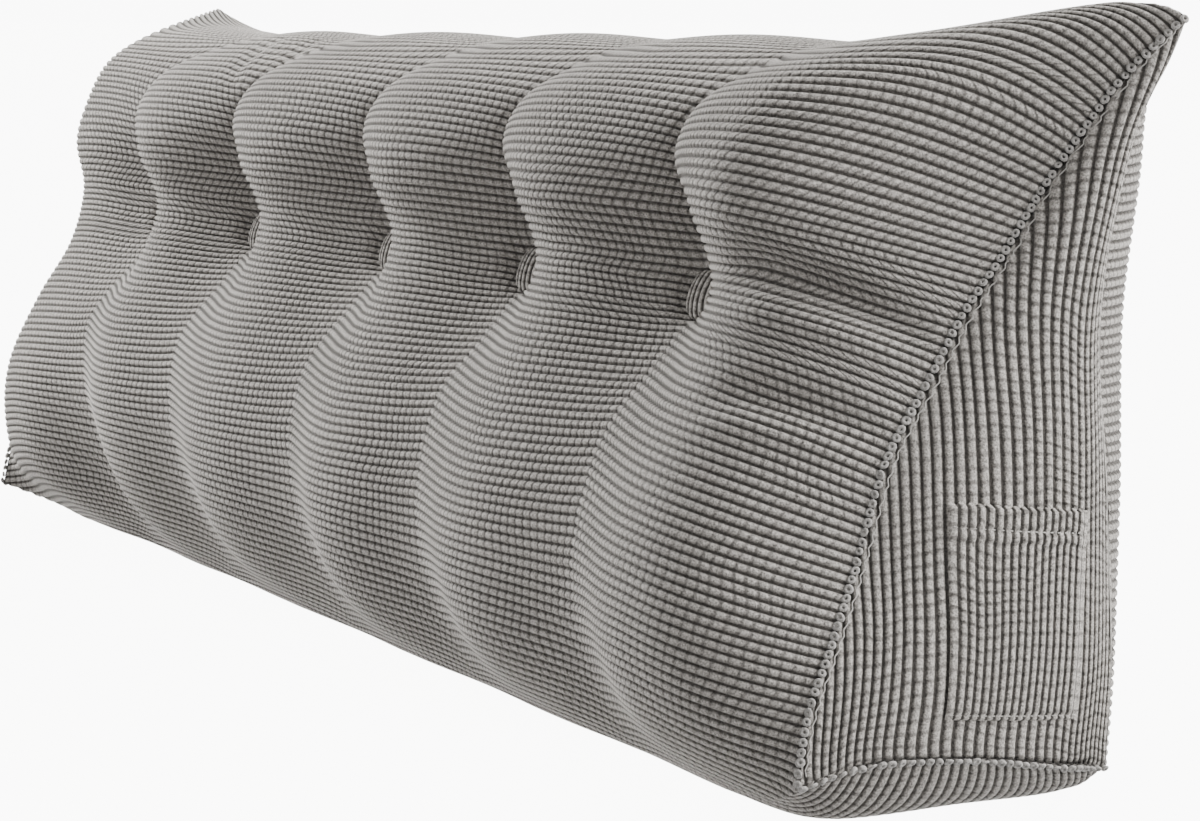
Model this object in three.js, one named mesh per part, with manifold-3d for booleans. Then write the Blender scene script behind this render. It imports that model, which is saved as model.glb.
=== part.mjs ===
// Long wedge backrest cushion in wide-ribbed corduroy, tufted with five covered buttons, with a patch
// pocket on its right end panel. Millimetres, X along the length, -Y the leaning face, +Z up, and the
// flat foot of the cushion on Z = 0.
import * as THREE from 'three';
import Module from 'manifold-3d';
import { mergeVertices } from 'three/addons/utils/BufferGeometryUtils.js';

const wasm = await Module();
wasm.setup();

// Sizes of the filled cover
const EAR_X = 782; // from the middle of the length to the tip of a top corner
const CROWN_X = 615; // where an end lobe stands highest
const FOLDS = [-488, -266, 5, 246, 496]; // places of the buttons along the length
const PANEL_BULGE = 27; // how far an end panel swells out of its seams
const GAP = 0.4; // between pieces that touch

// Covered buttons, and how far each is pulled into the bottom of its pit
const BUTTON = { radius: 17, rim: 5, dome: 4, tilt: 0.35, sink: 5, sides: 20, domeSteps: 3 };
const SEAT_DEPTH = 60; // length of the clear way that a button is pulled in through

// Patch pocket on the right end panel: the place of its middle, and its lean along the panel's ribs.
// It lies a lift above the smooth panel, which leaves a gap to the panel's flat facets too.
const POCKET = {
  width: 104, height: 131, y: 30, z: 128, lean: 0.11, lift: 0.75, cloth: 3, hem: 4.2, hemDepth: 22,
};
const POCKET_STEPS = { across: 8, up: 10 };

// Steps of the surface: across the base, up the front or back, along a half lobe, and out to an ear
const STEPS = { base: 8, side: 27, halfLobe: 6, endInner: 4, endLobe: 8 };
const HUMP = { crowding: 3.4, breadth: 0.8 }; // where along an end lobe its top stands up, and how broadly
const EAR_CROWDING = 1.15; // above 1, the steps of an end lobe are closer together towards the ear
const FOLD_CROWDING = 1.25; // above 1, the steps of a lobe are closer together towards its folds

// One row for each station round the section, from the rear foot forwards under the cushion, up the
// leaning face, over the top and down the back.
// seam is the outline of an end panel, and tuck how far it is drawn in from the ears.
// crown is the middle of a lobe, fold the line through a button, and crease runs from 0 for a soft dip
// between lobes over 1 for a sharp one to 2 where round lobes press against each other.
// swell is how squarely an end lobe turns in to its seam.
// lean is how much further forward the right end swells, hump how far the top of an end lobe rises
// above the crown line, and slack how much flatter the left end lobe is.
const COLUMNS = [
  'name', 'seamY', 'seamZ', 'tuck', 'crownY', 'crownZ', 'foldY', 'foldZ',
  'crease', 'swell', 'lean', 'hump', 'slack',
];
const STATIONS = [
  ['rearFoot', 111, 20, 40, 126, 9, 125, 9, 0, 4, 0, 0, 0],
  ['baseRear', 68, 27, 30, 90, 0, 90, 0, 0, 8, 0, 0, 0],
  ['baseMid', -3, 40, 24, 12, 0, 12, 0, 0, 8, 0, 0, 0],
  ['baseFront', -75, 44, 29, -64, 0, -62, 0, 0, 8, 14, 0, 0],
  ['frontFoot', -124, 33, 37, -88, 13, -82, 13, 0, 4, 22, 0, -10],
  ['toe', -114, 75, 41, -134, 58, -108, 56, 0.15, 3.4, 22, 0, -18],
  ['frontLow', -91, 119, 49, -157, 112, -129, 107, 0.3, 3, 18, 0, -12],
  ['belly', -66, 165, 61, -158, 168, -135, 161, 0.45, 2.6, 8, 0, 0],
  ['frontMid', -41, 224, 68, -137, 228, -121, 220, 0.4, 2.2, 0, 0, 14],
  ['underButton', -12, 270, 67, -107, 280, -77, 270, 0.2, 2.2, 0, 0, 18],
  ['button', 13, 311, 66, -91, 332, -45, 310, 0.4, 2.2, 0, 0, 16],
  ['overButton', 40, 349, 61, -108, 377, -42, 356, 1, 2.2, 0, 0, 26],
  ['shoulder', 64, 388, 55, -102, 413, -60, 398, 1.5, 2, 0, 5, 30],
  ['brow', 89, 434, 37, -73, 446, -50, 430, 1.5, 1.7, 0, 13, 20],
  ['topFront', 105, 460, 25, -27, 466, -17, 454, 1.2, 1.6, 0, 15, 6],
  ['top', 117, 478, 12, 24, 478, 27, 471, 0.8, 1.6, 0, 15, 0],
  ['ridge', 131, 495, 0, 80, 481, 78, 477, 0.6, 1.6, 0, 14, 0],
  ['backTop', 131, 472, 15, 142, 465, 138, 463, 0.2, 2.1, 0, 8, 0],
  ['backHigh', 121, 421, 39, 177, 406, 174, 405, 0, 3, 0, 0, 0],
  ['backMid', 117, 310, 64, 180, 301, 176, 300, 0, 3, 0, 0, 0],
  ['backLow', 121, 189, 58, 174, 185, 170, 185, 0, 3, 0, 0, 0],
  ['heel', 118, 84, 46, 153, 85, 150, 85, 0, 3.4, 0, 0, 0],
];
const STATION_COUNT = STATIONS.length;
const stationNumber = (name) => STATIONS.findIndex((row) => row[0] === name);
const FRONT_FOOT = stationNumber('frontFoot');
const BUTTON_ROW = stationNumber('button');
const RIDGE = stationNumber('ridge');

// Each column of the table as a list of its own
const table = Object.fromEntries(COLUMNS.map((name, k) => [name, STATIONS.map((row) => row[k])]));

// The three seams of an end panel, by the stations at their two ends: base, front and rear
const SEAMS = [
  [0, FRONT_FOOT],
  [FRONT_FOOT, RIDGE],
  [RIDGE, STATION_COUNT],
];

// Catmull-Rom curve from b to c at t, with a and d as the neighbours
function catmullRom(a, b, c, d, t) {
  const slopeB = (c - a) / 2;
  const slopeC = (d - b) / 2;
  const t2 = t * t;
  const t3 = t2 * t;
  const ends = b * (2 * t3 - 3 * t2 + 1) + c * (3 * t2 - 2 * t3);
  return ends + slopeB * (t3 - 2 * t2 + t) + slopeC * (t3 - t2);
}

// A smooth value round the closed section at station number u
function around(name, u) {
  const i = Math.floor(u);
  const at = (k) => table[name][(i + k + STATION_COUNT) % STATION_COUNT];
  return catmullRom(at(-1), at(0), at(1), at(2), u - i);
}

// A smooth value along one seam, which ends sharply at its two corners
function along(name, u, first, last) {
  const at = (k) => table[name][k % STATION_COUNT];
  const i = Math.min(Math.floor(u), last - 1);
  const before = i === first ? 2 * at(first) - at(first + 1) : at(i - 1);
  const after = i + 1 === last ? 2 * at(last) - at(last - 1) : at(i + 2);
  return catmullRom(before, at(i), at(i + 1), after, u - i);
}

// Point of the right end's seam at station number u
function seamPoint(u) {
  const [first, last] = SEAMS.find(([, end]) => u <= end);
  const read = (name) => along(name, u, first, last);
  return new THREE.Vector3(EAR_X - read('tuck'), read('seamY'), read('seamZ'));
}

// How far a lobe has risen at x, from 0 on a fold to 1 on the crown, for a crease of 0 to 2
function lobeRise(x, crease) {
  const right = FOLDS.findIndex((fold) => fold > x);
  const left = right === -1 ? FOLDS.length - 1 : right - 1;
  const [from, to] = [FOLDS[left], FOLDS[right]];
  let s = 1;
  if (from === undefined) s = (to - x) / (to + CROWN_X);
  else if (to === undefined) s = (x - from) / (CROWN_X - from);
  else s = Math.min(x - from, to - x) / ((to - from) / 2);
  const sharp = Math.sin((Math.PI / 2) * s);
  const soft = (1 - Math.cos(Math.PI * s)) / 2;
  const round = Math.sqrt(Math.max(1 - (1 - s) ** 2, 0));
  if (crease < 1) return soft + (sharp - soft) * Math.max(crease, 0);
  return sharp + (round - sharp) * Math.min(crease - 1, 1);
}

// Point of the wrap at station number u, for an x that is measured along the crown. Past the crown of
// an end lobe the section closes down to the seam. Nothing reaches below the flat foot.
function wrapPoint(x, u) {
  const side = Math.sign(x) || 1;
  const reach = Math.abs(x);
  const slack = x < FOLDS[0] ? around('slack', u) : 0;
  const lean = around('lean', u) * (Math.min(reach, CROWN_X) / CROWN_X) * side;
  const crownY = around('crownY', u) + slack;
  const crownZ = around('crownZ', u);
  const lastFold = Math.abs(side < 0 ? FOLDS[0] : FOLDS[FOLDS.length - 1]);
  const out = THREE.MathUtils.clamp((reach - lastFold) / (EAR_X - lastFold), 0, 1);
  const hump = around('hump', u) * Math.sin(Math.PI * out ** HUMP.crowding) ** HUMP.breadth;
  const point = new THREE.Vector3();
  if (reach > CROWN_X) {
    const seam = seamPoint(u);
    const t = (reach - CROWN_X) / (EAR_X - CROWN_X);
    const open = 1 - t ** around('swell', u);
    point.x = side * (CROWN_X + (seam.x - CROWN_X) * t);
    point.y = seam.y + (crownY - lean - seam.y) * open;
    point.z = seam.z + (crownZ - seam.z) * open + hump;
  } else {
    const foldY = around('foldY', u);
    const foldZ = around('foldZ', u);
    const up = lobeRise(x, around('crease', u));
    point.set(x, foldY + (crownY - foldY) * up - lean, foldZ + (crownZ - foldZ) * up + hump);
  }
  point.z = Math.max(point.z, 0);
  return point;
}

// Station numbers of the rows round the section, with the three corners among them
function stationRows() {
  const counts = [STEPS.base, STEPS.side, STEPS.side];
  return SEAMS.flatMap(([first, last], k) => (
    Array.from({ length: counts[k] }, (_, i) => first + ((last - first) * i) / counts[k])
  ));
}

// Places of the columns along the length, with every fold and crown among them
function lengthColumns() {
  const fromFold = (fold, crown, count) => (
    Array.from({ length: count }, (_, i) => fold + (crown - fold) * (i / count) ** FOLD_CROWDING)
  );
  const toFold = (crown, fold, count) => [...fromFold(fold, crown, count).slice(1), crown].reverse();
  const lobes = FOLDS.slice(1).flatMap((fold, k) => {
    const crown = (FOLDS[k] + fold) / 2;
    return [
      ...fromFold(FOLDS[k], crown, STEPS.halfLobe),
      ...toFold(crown, fold, STEPS.halfLobe),
    ];
  });
  const last = FOLDS[FOLDS.length - 1];
  const ear = Array.from({ length: STEPS.endLobe }, (_, i) => (
    EAR_X - (EAR_X - CROWN_X) * (i / STEPS.endLobe) ** EAR_CROWDING
  ));
  return [
    ...ear.map((x) => -x),
    ...toFold(-CROWN_X, FOLDS[0], STEPS.endInner),
    ...lobes,
    ...fromFold(last, CROWN_X, STEPS.endInner),
    CROWN_X,
    ...ear.slice().reverse(),
  ];
}

// Point of the right end panel: a from 0 at its front seam to 1 at its rear seam, h from 0 at the foot
// to 1 at the ear. The panel swells most in its middle.
function panelPoint(a, h) {
  const rear = seamPoint(STATION_COUNT + (RIDGE - STATION_COUNT) * h);
  const front = seamPoint(FRONT_FOOT + (RIDGE - FRONT_FOOT) * h);
  const foot = seamPoint(FRONT_FOOT * (1 - a));
  const straightFoot = seamPoint(FRONT_FOOT).lerp(seamPoint(0), a);
  const point = front.lerp(rear, a);
  point.add(foot.sub(straightFoot).multiplyScalar((1 - h) ** 2));
  const swollen = Math.min(1, 4.2 * h * (1 - h)) ** 0.8 * (1 - h ** 3);
  point.x += PANEL_BULGE * 4 * a * (1 - a) * swollen;
  return point;
}

// Point of the right end panel at the given y and z, found by closing in on it
function panelAt(y, z) {
  const span = { y: -table.seamY[FRONT_FOOT] + table.seamY[0], z: table.seamZ[RIDGE] - table.seamZ[0] };
  let [a, h] = [0.5, 0.3];
  for (let pass = 0; pass < 40; pass += 1) {
    const miss = panelPoint(a, h);
    a = THREE.MathUtils.clamp(a + (y - miss.y) / span.y, 0, 1);
    h = THREE.MathUtils.clamp(h + (z - miss.z) / span.z, 0, 1);
  }
  return panelPoint(a, h);
}

// Two triangles of each cell of a grid of point numbers, facing the way that a, b, c, d turns
function cell(indices, a, b, c, d) {
  indices.push(a, b, c, a, c, d);
}

function meshOf(positions, indices) {
  const geometry = new THREE.BufferGeometry();
  geometry.setAttribute('position', new THREE.Float32BufferAttribute(positions, 3));
  geometry.setIndex(indices);
  return geometry;
}

// The rows of point numbers of one end panel, whose rim is the last ring of the wrap
function panelRows(ring, side, add) {
  const n = ring.length;
  const rows = [];
  for (let r = 0; r <= STEPS.side; r += 1) {
    const row = [];
    for (let c = 0; c <= STEPS.base; c += 1) {
      if (r === 0) row.push(ring[STEPS.base - c]);
      else if (r === STEPS.side || c === 0) row.push(ring[STEPS.base + r]);
      else if (c === STEPS.base) row.push(ring[(n - r) % n]);
      else {
        const point = panelPoint(c / STEPS.base, r / STEPS.side);
        row.push(add(point.setX(side * point.x)));
      }
    }
    rows.push(row);
  }
  return rows;
}

// The filled cushion: the wrap and its two end panels, closed
function cushionGeometry() {
  const positions = [];
  const indices = [];
  const add = (p) => positions.push(p.x, p.y, p.z) / 3 - 1;
  const stations = stationRows();
  const rings = lengthColumns().map((x) => stations.map((u) => add(wrapPoint(x, u))));
  const n = stations.length;
  for (let i = 0; i + 1 < rings.length; i += 1) {
    for (let j = 0; j < n; j += 1) {
      const k = (j + 1) % n;
      cell(indices, rings[i][j], rings[i + 1][j], rings[i + 1][k], rings[i][k]);
    }
  }
  [[-1, rings[0]], [1, rings[rings.length - 1]]].forEach(([side, ring]) => {
    const rows = panelRows(ring, side, add);
    for (let r = 0; r < STEPS.side; r += 1) {
      for (let c = 0; c < STEPS.base; c += 1) {
        const corners = [rows[r][c], rows[r][c + 1], rows[r + 1][c + 1], rows[r + 1][c]];
        cell(indices, ...(side > 0 ? corners : corners.reverse()));
      }
    }
  });
  return meshOf(positions, indices);
}

// A covered button looks along its own +Y, from its flat back at the origin to its domed face
function buttonGeometry() {
  const { radius, rim, dome, sides, domeSteps } = BUTTON;
  const profile = [new THREE.Vector2(0, 0), new THREE.Vector2(radius * 0.92, 0)];
  profile.push(new THREE.Vector2(radius, rim * 0.35));
  for (let i = 0; i < domeSteps; i += 1) {
    const angle = (Math.PI / 2) * (i / domeSteps);
    profile.push(new THREE.Vector2(radius * Math.cos(angle), rim + dome * Math.sin(angle)));
  }
  profile.push(new THREE.Vector2(0, rim + dome));
  return new THREE.LatheGeometry(profile, sides);
}

// Turns a piece that looks along +Y to face forwards and a little up at the bottom of a button's pit
function placeInPit(geometry, x) {
  const forwards = Math.PI - BUTTON.tilt;
  const turn = new THREE.Matrix4().makeRotationX(forwards);
  const axis = new THREE.Vector3(0, 1, 0).applyMatrix4(turn);
  const pit = new THREE.Vector3(x, table.foldY[BUTTON_ROW], table.foldZ[BUTTON_ROW]);
  const back = pit.addScaledVector(axis, -BUTTON.sink);
  return geometry.applyMatrix4(turn.setPosition(back));
}

// The clear way for a button: its own size and the gap, from just behind its back to out of the pit
function seatGeometry() {
  const seat = new THREE.CylinderGeometry(
    BUTTON.radius + GAP, BUTTON.radius + GAP, SEAT_DEPTH, BUTTON.sides,
  );
  return seat.translate(0, SEAT_DEPTH / 2 - GAP, 0);
}

function toManifold(geometry) {
  const plain = geometry.clone();
  plain.deleteAttribute('normal');
  plain.deleteAttribute('uv');
  const merged = mergeVertices(plain, 1e-4);
  return new wasm.Manifold(new wasm.Mesh({
    numProp: 3,
    vertProperties: Float32Array.from(merged.attributes.position.array),
    triVerts: Uint32Array.from(merged.index.array),
  }));
}

function fromManifold(solid) {
  const mesh = solid.getMesh();
  return meshOf(Array.from(mesh.vertProperties), Array.from(mesh.triVerts));
}

// The patch pocket: a sheet that follows the end panel, thicker along the hem of its top edge
function pocketGeometry() {
  const { across, up } = POCKET_STEPS;
  const positions = [];
  const indices = [];
  const add = (p) => positions.push(p.x, p.y, p.z) / 3 - 1;
  const heights = Array.from({ length: up }, (_, r) => (r * (POCKET.height - POCKET.hemDepth)) / (up - 1));
  heights.push(POCKET.height);
  const [cos, sin] = [Math.cos(POCKET.lean), Math.sin(POCKET.lean)];
  const layer = (offset) => heights.map((height, r) => (
    Array.from({ length: across + 1 }, (_, c) => {
      const right = POCKET.width * (c / across - 0.5);
      const rise = height - POCKET.height / 2;
      const point = panelAt(POCKET.y + right * cos + rise * sin, POCKET.z + rise * cos - right * sin);
      point.x += offset(r);
      return add(point);
    })
  ));
  const inner = layer(() => POCKET.lift);
  const outer = layer((r) => POCKET.lift + (r >= up - 1 ? POCKET.hem : POCKET.cloth));
  for (let r = 0; r < up; r += 1) {
    for (let c = 0; c < across; c += 1) {
      cell(indices, outer[r][c], outer[r][c + 1], outer[r + 1][c + 1], outer[r + 1][c]);
      cell(indices, inner[r + 1][c], inner[r + 1][c + 1], inner[r][c + 1], inner[r][c]);
    }
    cell(indices, inner[r][0], outer[r][0], outer[r + 1][0], inner[r + 1][0]);
    cell(indices, outer[r][across], inner[r][across], inner[r + 1][across], outer[r + 1][across]);
  }
  for (let c = 0; c < across; c += 1) {
    cell(indices, inner[0][c], inner[0][c + 1], outer[0][c + 1], outer[0][c]);
    cell(indices, outer[up][c], outer[up][c + 1], inner[up][c + 1], inner[up][c]);
  }
  return meshOf(positions, indices);
}

// The filled body with a seat cut for each button
function bodyGeometry() {
  const seats = FOLDS.map((x) => toManifold(placeInPit(seatGeometry(), x)));
  return fromManifold(seats.reduce((solid, seat) => solid.subtract(seat), toManifold(cushionGeometry())));
}

const CORDUROY = { color: 0x9c9a96, roughness: 0.95, metalness: 0 };

function clothPiece(name, geometry) {
  const piece = new THREE.Mesh(geometry, new THREE.MeshStandardMaterial(CORDUROY));
  piece.name = name;
  return piece;
}

const cushion = new THREE.Group();
cushion.add(clothPiece('cushion_body', bodyGeometry()));
cushion.add(clothPiece('side_pocket', pocketGeometry()));
FOLDS.forEach((x, k) => {
  cushion.add(clothPiece(`tuft_button_${k + 1}`, placeInPit(buttonGeometry(), x)));
});

// The origin is under the middle of the whole cushion
const box = new THREE.Box3().setFromObject(cushion);
cushion.position.set(-(box.min.x + box.max.x) / 2, -(box.min.y + box.max.y) / 2, -box.min.z);

export default cushion;
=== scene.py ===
# Long wedge backrest cushion in wide-ribbed corduroy, tufted with five covered buttons, with a patch
# pocket on its right end panel. Metres, X along the length, -Y the leaning face and +Z up.
import math

import bpy
import numpy as np
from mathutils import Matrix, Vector
from numpy.linalg import norm


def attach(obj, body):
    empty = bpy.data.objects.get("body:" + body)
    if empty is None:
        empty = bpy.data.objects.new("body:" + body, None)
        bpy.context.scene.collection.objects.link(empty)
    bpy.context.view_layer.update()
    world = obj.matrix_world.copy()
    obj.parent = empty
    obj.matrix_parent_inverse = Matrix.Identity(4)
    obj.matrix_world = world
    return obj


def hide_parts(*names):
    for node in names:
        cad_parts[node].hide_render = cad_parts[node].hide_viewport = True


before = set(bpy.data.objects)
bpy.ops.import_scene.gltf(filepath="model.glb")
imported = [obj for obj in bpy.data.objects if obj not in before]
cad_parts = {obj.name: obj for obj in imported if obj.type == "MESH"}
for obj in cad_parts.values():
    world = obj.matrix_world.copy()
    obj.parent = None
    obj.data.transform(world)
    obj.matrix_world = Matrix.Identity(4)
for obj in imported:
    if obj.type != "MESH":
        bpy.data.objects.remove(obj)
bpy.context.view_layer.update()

# The filled cover. A wrap of corduroy runs under the foot, up the leaning face, over the top and down
# the back, with its ribs along the length, and an end panel is sewn into it at each end, with its ribs
# upright. Soft filling swells it out between the seams, and five buttons pull it into lobes.
MM = 0.001
EAR_X = 782 * MM  # from the middle of the length to the tip of a top corner
CROWN_X = 615 * MM  # where an end lobe stands highest
FOLDS = np.array([-488, -266, 5, 246, 496]) * MM  # places of the buttons along the length
PANEL_BULGE = 27 * MM  # how far an end panel swells out of its seams
PANEL_SWELL_RATE = 4.2  # how soon above the foot it swells fully
PANEL_SWELL_POWER = 0.8  # how squarely the swell starts there
HUMP_CROWDING = 3.4  # how close to the ear the top of an end lobe rises
HUMP_BREADTH = 0.8  # and how broadly, above 1 narrow and below 1 broad

# One row for each station round the section, in millimetres. seam is the outline of an end panel and tuck
# how far it is drawn in from the ears. crown is the middle of a lobe, fold the line through a button, and
# crease how sharp the dip between lobes is. swell is how squarely an end lobe turns in to its seam, lean
# how much further forward the right end swells, hump how far an end lobe's top rises, slack how much
# flatter the left lobe is. rib counts the ribs that lie before the station on a crown, and drawn is how
# many of them the buttons draw past it in a fold.
COLUMNS = (
    "seam_y", "seam_z", "tuck", "crown_y", "crown_z", "fold_y", "fold_z",
    "crease", "swell", "lean", "hump", "slack", "rib", "drawn",
)
STATIONS = {
    "rear foot": (111, 20, 40, 126, 9, 125, 9, 0, 4, 0, 0, 0, 0, 0),
    "base rear": (68, 27, 30, 90, 0, 90, 0, 0, 8, 0, 0, 0, 4.8, 0),
    "base middle": (-3, 40, 24, 12, 0, 12, 0, 0, 8, 0, 0, 0, 15.2, 0),
    "base front": (-75, 44, 29, -64, 0, -62, 0, 0, 8, 14, 0, 0, 25.4, 0.2),
    "front foot": (-124, 33, 37, -88, 13, -82, 13, 0, 4, 22, 0, -10, 28.8, 1.4),
    "toe": (-114, 75, 41, -134, 58, -108, 56, 0.15, 3.4, 22, 0, -18, 36, 1.4),
    "front low": (-91, 119, 49, -157, 112, -129, 107, 0.3, 3, 18, 0, -12, 44.3, 0.3),
    "belly": (-66, 165, 61, -158, 168, -135, 161, 0.45, 2.6, 8, 0, 0, 53.4, -1.4),
    "front middle": (-41, 224, 68, -137, 228, -121, 220, 0.4, 2.2, 0, 0, 14, 63.6, -2.4),
    "under button": (-12, 270, 67, -107, 280, -77, 270, 0.2, 2.2, 0, 0, 18, 73.3, -2),
    "button": (13, 311, 66, -91, 332, -45, 310, 0.4, 2.2, 0, 0, 16, 83.7, -3.3),
    "over button": (40, 349, 61, -108, 377, -42, 356, 1, 2.2, 0, 0, 26, 91.2, -2.1),
    "shoulder": (64, 388, 55, -102, 413, -60, 398, 1.5, 2, 0, 5, 30, 96.8, -0.7),
    "brow": (89, 434, 37, -73, 446, -50, 430, 1.5, 1.7, 0, 13, 20, 103.4, -1.3),
    "top front": (105, 460, 25, -27, 466, -17, 454, 1.2, 1.6, 0, 15, 6, 108.8, -2.3),
    "top": (117, 478, 12, 24, 478, 27, 471, 0.8, 1.6, 0, 15, 0, 113, -2.7),
    "ridge": (131, 495, 0, 80, 481, 78, 477, 0.6, 1.6, 0, 14, 0, 121.4, -1.9),
    "back top": (131, 472, 15, 142, 465, 138, 463, 0.2, 2.1, 0, 8, 0, 131.2, -1),
    "back high": (121, 421, 39, 177, 406, 174, 405, 0, 3, 0, 0, 0, 142, 0),
    "back middle": (117, 310, 64, 180, 301, 176, 300, 0, 3, 0, 0, 0, 157.9, 0),
    "back low": (121, 189, 58, 174, 185, 170, 185, 0, 3, 0, 0, 0, 175.4, 0),
    "heel": (118, 84, 46, 153, 85, 150, 85, 0, 3.4, 0, 0, 0, 190.8, 0),
}
PLAIN_COLUMNS = ("crease", "swell", "rib", "drawn")  # those that aren't lengths
station_names = list(STATIONS)
station_count = len(STATIONS)
profile = {
    name: np.array([row[k] for row in STATIONS.values()]) * (1 if name in PLAIN_COLUMNS else MM)
    for k, name in enumerate(COLUMNS)
}
front_foot, button_row, ridge = (station_names.index(n) for n in ("front foot", "button", "ridge"))

# The three seams of an end panel, base, front and rear, by their first and last station, and the number
# of ribs that end on them. The ribs are 6.35 mm apart, four to the inch.
SEAMS = ((0, front_foot, 36), (front_foot, ridge, 88), (ridge, station_count, 79))
rib_total = sum(ribs for _, _, ribs in SEAMS)
PANEL_RIBS = 36
PANEL_LEAN = 0.07  # how far the panel's ribs lean away from its rear seam, for their height
PANEL_FOOT_BEND, PANEL_FOOT_RISE = 5 * MM, 9 * MM  # how far, and how high up, they bend at the foot seam
RIBS_TO_FOLD = 1.5  # how quickly the ribs are drawn aside towards a fold
RIBS_TO_SEAM = 6.85  # and how late they turn towards their places on a seam
RIBS_TURN_X = 245 * MM  # how far out along the length they start to turn
RIB_RISE = 2.3 * MM  # from a groove to a crest
RIB_SINK = 0.6  # the share of it that lies below the smooth cloth
# Rows of points on each rib, as shares of its width, and how high each row stands
ROW_SHARES = (0.0, 0.16, 0.37, 0.63, 0.84)
ROW_RISES = (0.0, 0.66, 1.0, 1.0, 0.66)
FINE_STEPS = 60  # to a station, where the seams are measured and the ribs are placed


def catmull_rom(a, b, c, d, t):
    slope_b, slope_c = (c - a) / 2, (d - b) / 2
    t2, t3 = t * t, t * t * t
    ends = b * (2 * t3 - 3 * t2 + 1) + c * (3 * t2 - 2 * t3)
    return ends + slope_b * (t3 - 2 * t2 + t) + slope_c * (t3 - t2)


def around(name, u):
    """A smooth value round the closed section at the station numbers u"""
    values = profile[name]
    i = np.floor(u).astype(int)
    return catmull_rom(*(values[(i + k) % station_count] for k in (-1, 0, 1, 2)), u - i)


def seam_line(u):
    """Points of the right end's seam at the station numbers u, sharp at its three corners"""
    flat = np.ravel(u)
    points = np.zeros((flat.size, 3))
    for first, last, _ in SEAMS:
        here = (flat >= first) & (flat <= last)
        i = np.minimum(np.floor(flat[here]).astype(int), last - 1) - first
        for axis, name in enumerate(("tuck", "seam_y", "seam_z")):
            values = profile[name][np.arange(first, last + 1) % station_count]
            values = np.r_[2 * values[0] - values[1], values, 2 * values[-1] - values[-2]]
            points[here, axis] = catmull_rom(*(values[i + k] for k in range(4)), flat[here] - first - i)
    points[:, 0] = EAR_X - points[:, 0]
    return points.reshape(*np.shape(u), 3)


def lobe_place(x):
    """0 on a fold and 1 on the crown of a lobe"""
    edges = np.r_[-2 * CROWN_X - FOLDS[0], FOLDS, 2 * CROWN_X - FOLDS[-1]]
    lobe = np.clip(np.searchsorted(edges, x) - 1, 0, len(edges) - 2)
    left, right = edges[lobe], edges[lobe + 1]
    return np.minimum(x - left, right - x) / ((right - left) / 2)


def lobe_rise(x, crease):
    """How far a lobe has risen at x, from 0 on a fold to 1 on its crown. A crease of 0 is a soft dip, 1 a
    sharp one, and 2 one where round lobes press against each other."""
    place = lobe_place(x)
    soft = (1 - np.cos(math.pi * place)) / 2
    sharp = np.sin(math.pi / 2 * place)
    round_lobe = np.sqrt(np.maximum(1 - (1 - place) ** 2, 0))
    sharper, rounder = np.clip(crease, 0, 1), np.clip(crease - 1, 0, 1)
    return soft + (sharp - soft) * sharper + (round_lobe - sharp) * rounder


def smooth_wrap(x, u):
    """Grid of points of the filled wrap, before its ribs, at the places x and a grid of station numbers u"""
    x = x[:, None]
    row = {name: around(name, u) for name in COLUMNS}
    seam = seam_line(u)
    side = np.where(x < 0, -1.0, 1.0)
    reach = np.abs(x)
    crown_y = row["crown_y"] + (x < FOLDS[0]) * row["slack"]
    lean = row["lean"] * np.minimum(reach, CROWN_X) / CROWN_X * side
    last_fold = np.where(x < 0, -FOLDS[0], FOLDS[-1])
    out = np.clip((reach - last_fold) / (EAR_X - last_fold), 0, 1)
    hump = row["hump"] * np.abs(np.sin(math.pi * out**HUMP_CROWDING)) ** HUMP_BREADTH
    t = np.clip((reach - CROWN_X) / (EAR_X - CROWN_X), 0, 1)
    ended = 1 - t ** row["swell"]
    rise = lobe_rise(np.clip(x, -CROWN_X, CROWN_X), row["crease"])
    middle_y = row["fold_y"] + (crown_y - row["fold_y"]) * rise - lean
    middle_z = row["fold_z"] + (row["crown_z"] - row["fold_z"]) * rise
    end_x = side * (CROWN_X + (seam[..., 0] - CROWN_X) * t)
    end_y = seam[..., 1] + (crown_y - lean - seam[..., 1]) * ended
    end_z = seam[..., 2] + (row["crown_z"] - seam[..., 2]) * ended
    pairs = ((end_x, x), (end_y, middle_y), (end_z, middle_z))
    points = np.stack([np.where(reach > CROWN_X, *pair) for pair in pairs], -1)
    points[..., 2] = np.maximum(points[..., 2] + hump, 0)
    return points


def smooth_panel(a, h):
    """Points of the right end panel, with a from its front seam to its rear and h from foot to ear"""
    rear = seam_line(station_count + (ridge - station_count) * h)
    front = seam_line(front_foot + (ridge - front_foot) * h)
    foot = seam_line(front_foot * (1 - a))
    corners = seam_line(np.array([float(front_foot), 0.0]))
    straight_foot = corners[0] + (corners[1] - corners[0]) * a[..., None]
    points = front + (rear - front) * a[..., None]
    points += (foot - straight_foot) * ((1 - h) ** 2)[..., None]
    rise = np.minimum(1, PANEL_SWELL_RATE * h * (1 - h)).clip(0) ** PANEL_SWELL_POWER
    points[..., 0] += PANEL_BULGE * 4 * a * (1 - a) * rise * (1 - h**3)
    return points


def surface_normals(points, closed):
    """Unit normals of a grid of points, whose second axis closes on itself if closed is true"""
    if closed:
        step_u = np.roll(points, -1, axis=1) - np.roll(points, 1, axis=1)
    else:
        step_u = np.gradient(points, axis=1)
    normals = np.cross(np.gradient(points, axis=0), step_u)
    return normals / np.maximum(norm(normals, axis=2, keepdims=True), 1e-12)


def walked(points, axis=0):
    """Distance walked along one axis of a path or a grid of points"""
    steps = norm(np.diff(points, axis=axis), axis=-1)
    start = np.zeros_like(np.take(steps, [0], axis=axis))
    return np.concatenate([start, np.cumsum(steps, axis=axis)], axis=axis)


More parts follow.
